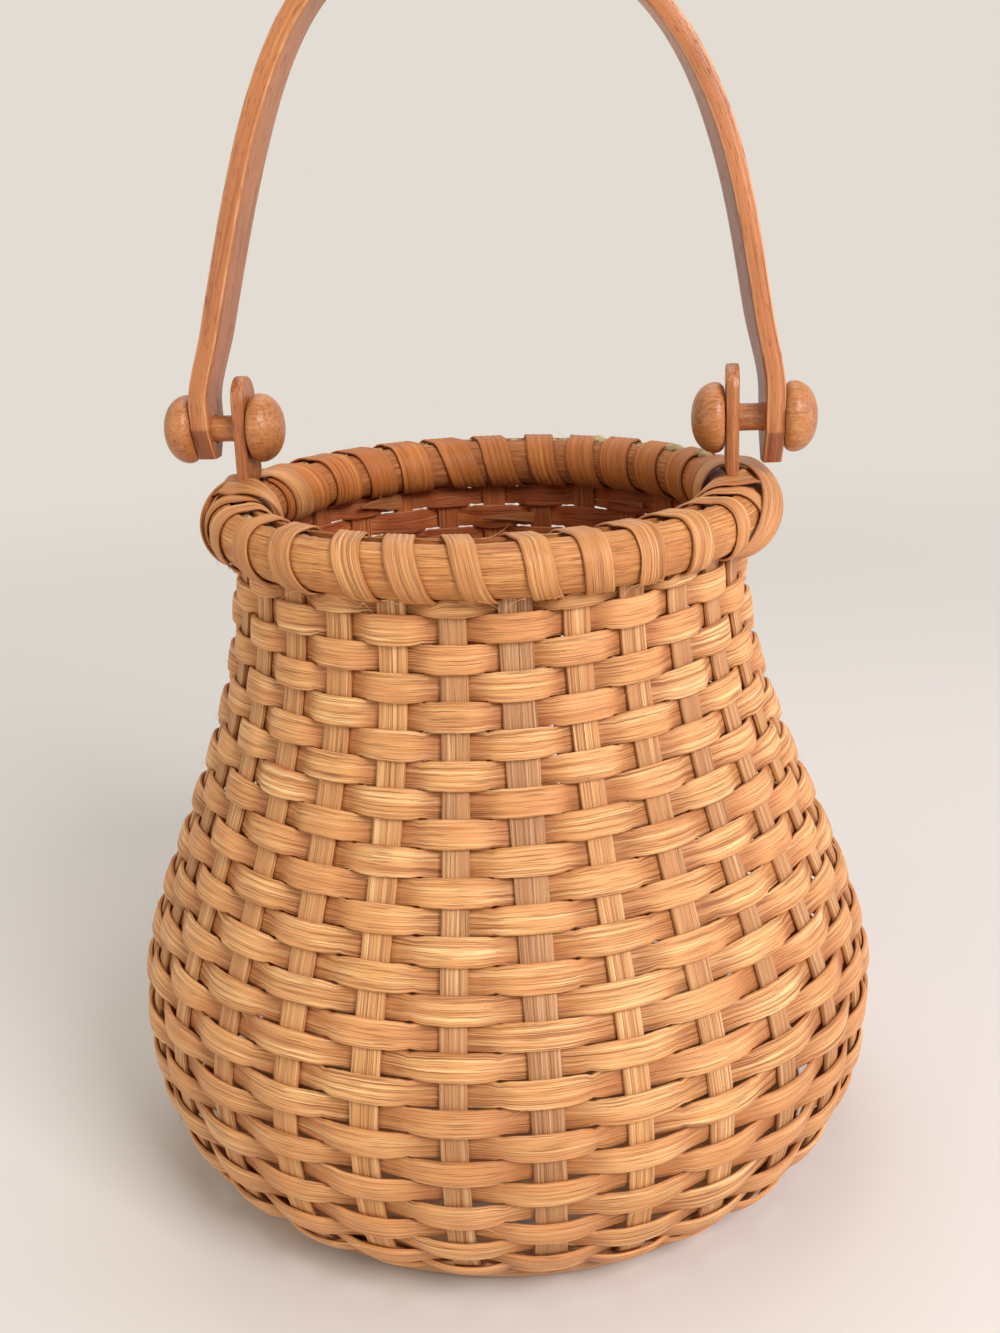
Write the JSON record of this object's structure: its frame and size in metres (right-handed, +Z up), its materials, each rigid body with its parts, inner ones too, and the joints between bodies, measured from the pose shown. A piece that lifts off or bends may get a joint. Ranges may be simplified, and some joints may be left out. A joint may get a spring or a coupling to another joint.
{
  "type": "woven reed basket with swinging hoop handle",
  "caption": "Round pear-shaped basket of flat woven reed on a turned base, with a lashed double rim and a hoop handle that swings on knobbed wooden pins.",
  "frame": {"origin": "middle of the base's flat underside, on the floor", "axes": "+Z up, the pins and the raised handle lie along X, the front faces -Y"},
  "size_m": [0.2028, 0.2025, 0.3201],
  "materials": {
    "base_wood": "satin oiled wood",
    "stake_reed": "dry flat reed, matt with fine lines",
    "weaver_reed": "honey flat reed, low sheen",
    "rim_reed": "golden half-round reed, satin",
    "seagrass": "dry twisted seagrass, matt",
    "lashing_cane": "split cane, satin",
    "ear_wood": "satin stained wood",
    "handle_wood": "satin stained wood",
    "knob_wood": "satin turned wood"
  },
  "bodies": {
    "basket": {"base": "base_wood", "stake_01": "stake_reed", "stake_02": "stake_reed", "stake_03": "stake_reed", "stake_04": "stake_reed", "stake_05": "stake_reed", "stake_06": "stake_reed", "stake_07": "stake_reed", "stake_08": "stake_reed", "stake_09": "stake_reed", "stake_10": "stake_reed", "stake_11": "stake_reed", "stake_12": "stake_reed", "stake_13": "stake_reed", "stake_14": "stake_reed", "stake_15": "stake_reed", "stake_16": "stake_reed", "stake_17": "stake_reed", "stake_18": "stake_reed", "stake_19": "stake_reed", "stake_20": "stake_reed", "stake_21": "stake_reed", "stake_22": "stake_reed", "stake_23": "stake_reed", "stake_24": "stake_reed", "stake_25": "stake_reed", "stake_26": "stake_reed", "stake_27": "stake_reed", "stake_28": "stake_reed", "stake_29": "stake_reed", "weaver_1": "weaver_reed", "weaver_2": "weaver_reed", "weaver_3": "weaver_reed", "weaver_4": "weaver_reed", "weaver_5": "weaver_reed", "weaver_6": "weaver_reed", "outer_rim": "rim_reed", "inner_rim": "rim_reed", "rim_filler_front": "seagrass", "rim_filler_back": "seagrass", "lashing_front": "lashing_cane", "lashing_back": "lashing_cane", "ear_left": "ear_wood", "ear_right": "ear_wood"},
    "handle": {"handle": "handle_wood"},
    "left_pin": {"pin_left": "knob_wood", "inner_knob_left": "knob_wood"},
    "right_pin": {"pin_right": "knob_wood", "inner_knob_right": "knob_wood"}
  },
  "joints": [
    {"name": "handle_swing", "type": "hinge", "parent": "basket", "child": "handle", "pos_m": [0, 0, 0.2007], "axis": [1, 0, 0], "range_deg": [-100, 100]},
    {"name": "left_pin_spin", "type": "hinge", "parent": "basket", "child": "left_pin", "pos_m": [-0.07, 0, 0.2007], "axis": [1, 0, 0], "continuous": true},
    {"name": "right_pin_spin", "type": "hinge", "parent": "basket", "child": "right_pin", "pos_m": [0.07, 0, 0.2007], "axis": [1, 0, 0], "continuous": true}
  ]
}
